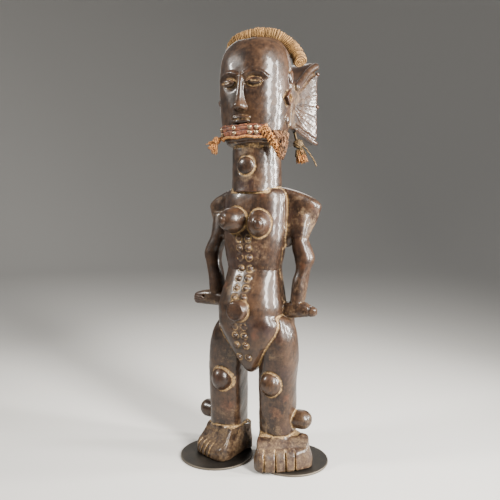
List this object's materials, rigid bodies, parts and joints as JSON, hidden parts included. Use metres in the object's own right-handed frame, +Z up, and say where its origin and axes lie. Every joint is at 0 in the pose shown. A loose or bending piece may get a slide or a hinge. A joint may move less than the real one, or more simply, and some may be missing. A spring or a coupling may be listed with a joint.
{
  "type": "carved ancestor figure",
  "caption": "Standing wooden ancestor figure with a flared hairdress, fibre headband and chin band, hands on hips, on two thin round foot plates.",
  "frame": {"origin": "on the surface that the figure stands on, under the middle of its bounding box", "axes": "+Z up, the figure faces -Y, and its own left is +X"},
  "size_m": [0.207, 0.159, 0.6004],
  "materials": {
    "dark_wood": "dark polished wood with dust in the cuts",
    "wound_fibre": "dry wound plant fibre",
    "plait_fibre": "dry plaited plant fibre",
    "band_leather": "worn matt leather",
    "tack_metal": "worn bright metal",
    "plate_metal": "dark patinated metal"
  },
  "bodies": {
    "root": {"carved_figure": "dark_wood", "headband": "wound_fibre", "chin_band": "band_leather", "tack_1": "tack_metal", "tack_2": "tack_metal", "tack_3": "tack_metal", "tack_4": "tack_metal", "tack_5": "tack_metal", "tack_6": "tack_metal", "tack_7": "tack_metal", "tack_8": "tack_metal", "jaw_plait": "plait_fibre", "tassel_right": "plait_fibre", "tassel_left": "plait_fibre", "foot_plate_left": "plate_metal", "foot_plate_right": "plate_metal"}
  },
  "joints": []
}
